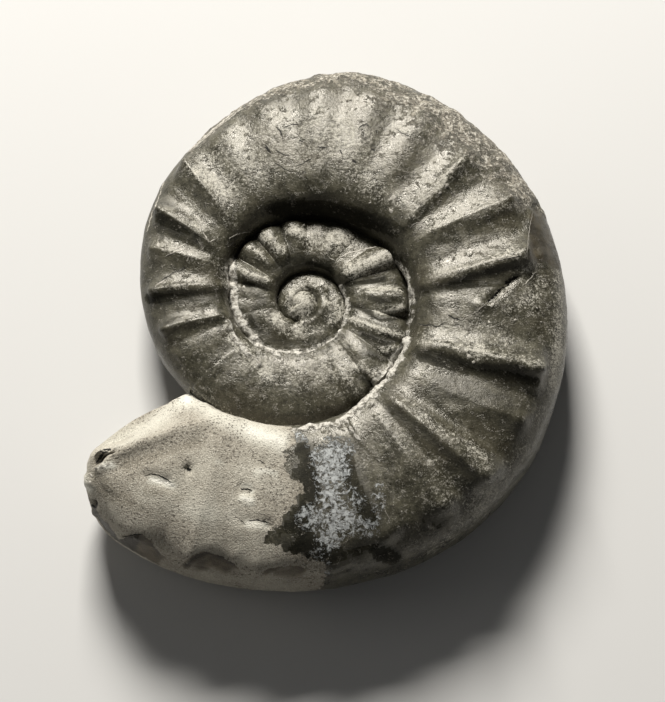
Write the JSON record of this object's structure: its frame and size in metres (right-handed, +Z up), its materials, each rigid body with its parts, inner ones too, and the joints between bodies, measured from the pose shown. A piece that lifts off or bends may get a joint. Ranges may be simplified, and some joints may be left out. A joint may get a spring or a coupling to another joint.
{
  "type": "fossil ammonite",
  "caption": "Coiled fossil shell with sharp ribs on its flanks, a sunken spiral centre and a broken, stone-filled mouth, lying flat on its side.",
  "frame": {"origin": "on the surface that the fossil lies on, under the middle of its bounding box", "axes": "+Z up, close to the coil's axis; +Y towards the back as the fossil lies, its longest way; the mouth is at -X, -Y"},
  "size_m": [0.056, 0.0632, 0.0155],
  "materials": {
    "fossil_stone": "satin, worn, with pale limestone at the mouth"
  },
  "bodies": {
    "root": {"ammonite": "fossil_stone"}
  },
  "joints": []
}
